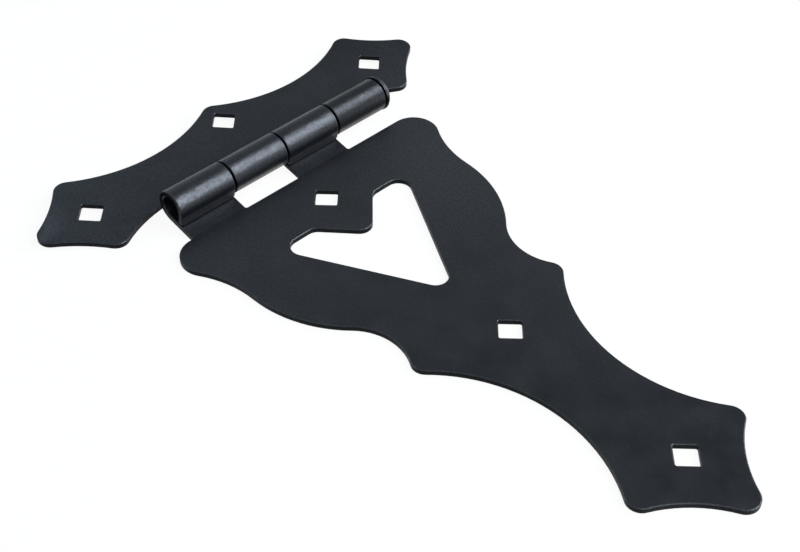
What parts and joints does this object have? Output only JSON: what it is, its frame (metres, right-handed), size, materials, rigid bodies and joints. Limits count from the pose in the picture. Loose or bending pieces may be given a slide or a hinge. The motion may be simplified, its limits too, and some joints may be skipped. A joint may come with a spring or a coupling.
{
  "type": "tee hinge",
  "caption": "Ornamental tee hinge: a long scalloped strap with a pierced window and a scalloped jamb leaf, rolled round a headed pin, with square bolt holes.",
  "frame": {"origin": "middle of the strap's first square bolt hole, the one nearest the barrel, on the strap's back face", "axes": "+X along the strap to its tip, +Y along the pin to its head, +Z out of the strap's front face, on the barrel's side"},
  "size_m": [0.2911, 0.2004, 0.0173],
  "materials": {
    "leaf_coat": "satin black powder coat on pressed sheet steel",
    "pin_coat": "satin black powder coat on a turned steel pin"
  },
  "bodies": {
    "strap": {"strap_leaf": "leaf_coat"},
    "jamb": {"jamb_leaf": "leaf_coat", "hinge_pin": "pin_coat"}
  },
  "joints": [
    {"name": "leaf_swing", "type": "hinge", "parent": "strap", "child": "jamb", "pos_m": [-0.0305, 0, 0.0097], "axis": [0, 1, 0], "range_deg": [-96, 193.5]}
  ]
}
